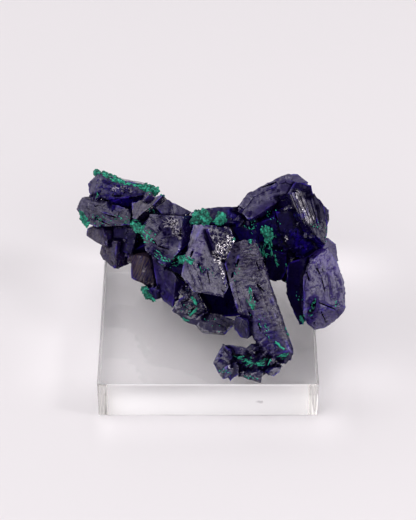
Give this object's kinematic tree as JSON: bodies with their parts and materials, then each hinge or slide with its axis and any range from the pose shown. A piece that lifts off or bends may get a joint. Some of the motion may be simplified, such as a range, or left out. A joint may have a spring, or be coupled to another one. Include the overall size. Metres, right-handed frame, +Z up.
{
  "type": "azurite and malachite specimen",
  "caption": "Cluster of deep blue azurite crystals with green malachite crusts and tufts, resting on a square block of clear acrylic.",
  "frame": {"origin": "middle of the acrylic block's underside", "axes": "+Z up, +X to the right and -Y towards the viewer on the side that the picture shows"},
  "size_m": [0.0627, 0.0513, 0.0422],
  "materials": {
    "clear_acrylic": "clear cast acrylic with polished faces",
    "azurite": "natural azurite crystal, opaque deep blue with a glassy lustre",
    "malachite": "natural malachite, opaque green and velvety"
  },
  "bodies": {
    "root": {"acrylic_base": "clear_acrylic", "azurite_cluster": "azurite", "malachite_top_crust": "malachite", "malachite_shoulder_crust": "malachite", "malachite_side_crust": "malachite", "malachite_left_tuft": "malachite", "malachite_seam_tuft": "malachite", "malachite_under_crust": "malachite", "malachite_large_ball": "malachite", "malachite_small_ball": "malachite", "malachite_spray": "malachite"}
  },
  "joints": []
}
